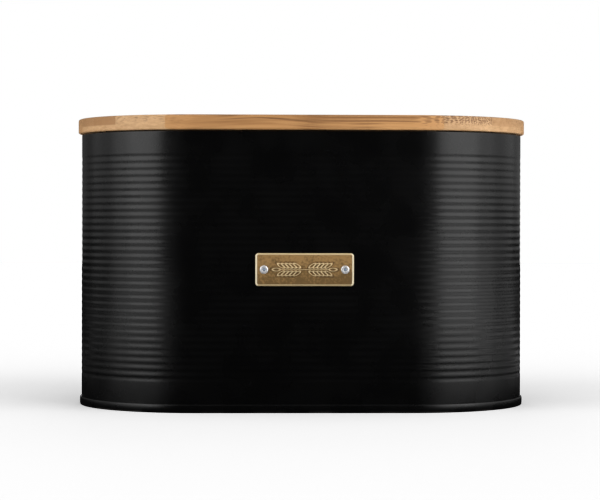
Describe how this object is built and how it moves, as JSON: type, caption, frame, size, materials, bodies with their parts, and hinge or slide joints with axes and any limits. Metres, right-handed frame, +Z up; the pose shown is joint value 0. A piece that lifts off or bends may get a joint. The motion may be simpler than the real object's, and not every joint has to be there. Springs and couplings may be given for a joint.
{
  "type": "bread bin",
  "caption": "Oblong round-ended bread bin of grooved black sheet steel with a lift-off bamboo lid, a riveted brass label plate and a folded base seam.",
  "frame": {"origin": "middle of the footprint, on the plane the bin stands on", "axes": "+X along the length, +Z up, -Y the front with the label plate"},
  "size_m": [0.332, 0.181, 0.2105],
  "materials": {
    "black_coat": "satin black powder coat, inside and outside",
    "bamboo": "caramelised bamboo, clear lacquer",
    "label_brass": "pressed plate, mottled antique brass with bright rims",
    "rivet_metal": "bright blind rivet",
    "pin_steel": "broken mandrel, dull",
    "seal_silicone": "translucent white silicone"
  },
  "bodies": {
    "bin": {"body_wall": "black_coat", "base_pan": "black_coat", "label_plate": "label_brass", "rivet_left": "rivet_metal", "rivet_right": "rivet_metal", "rivet_pin_left": "pin_steel", "rivet_pin_right": "pin_steel"},
    "lid": {"lid_strip_1": "bamboo", "lid_strip_2": "bamboo", "lid_strip_3": "bamboo", "lid_strip_4": "bamboo", "lid_strip_5": "bamboo", "lid_strip_6": "bamboo", "lid_strip_7": "bamboo", "lid_strip_8": "bamboo", "lid_strip_9": "bamboo", "lid_strip_10": "bamboo", "lid_strip_11": "bamboo", "ply_strip_1": "bamboo", "ply_strip_2": "bamboo", "ply_strip_3": "bamboo", "ply_strip_4": "bamboo", "ply_strip_5": "bamboo", "ply_strip_6": "bamboo", "ply_strip_7": "bamboo", "ply_strip_8": "bamboo", "ply_strip_9": "bamboo", "ply_strip_10": "bamboo", "lid_seal": "seal_silicone"}
  },
  "joints": [
    {"name": "lid_lift", "type": "slide", "parent": "bin", "child": "lid", "axis": [0, 0, 1], "range_m": [0, 0.2]}
  ]
}
